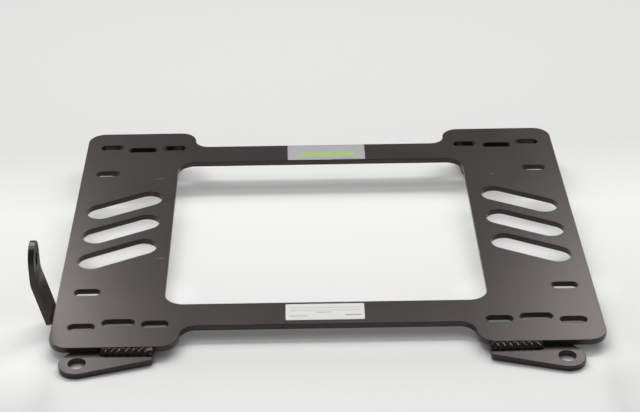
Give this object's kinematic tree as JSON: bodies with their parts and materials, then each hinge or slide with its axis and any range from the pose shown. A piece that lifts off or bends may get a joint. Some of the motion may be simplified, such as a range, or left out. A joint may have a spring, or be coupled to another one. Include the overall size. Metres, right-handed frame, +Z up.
{
  "type": "seat bracket",
  "caption": "Flat powder coated steel seat bracket with a large central opening, slotted seat bolt holes, slanted slots, welded rear lugs and an upright belt strap.",
  "frame": {"origin": "centre of the outer seat slot pattern on the plate's top face", "axes": "+Z up, square to the plate; +Y towards the front of the vehicle; +X to the right"},
  "size_m": [0.4865, 0.4506, 0.1016],
  "materials": {
    "powder_coat": "satin dark grey powder coat",
    "coated_weld": "powder coat over rippled weld",
    "silver_label": "satin silver film",
    "white_label": "matt white label"
  },
  "bodies": {
    "root": {"main_plate": "powder_coat", "left_rear_lug": "powder_coat", "right_rear_lug": "powder_coat", "left_front_leg": "powder_coat", "right_front_leg": "powder_coat", "belt_strap": "powder_coat", "left_rear_weld": "coated_weld", "right_rear_weld": "coated_weld", "left_front_weld": "coated_weld", "right_front_weld": "coated_weld", "strap_weld": "coated_weld", "front_label": "silver_label", "rear_label": "white_label"}
  },
  "joints": []
}
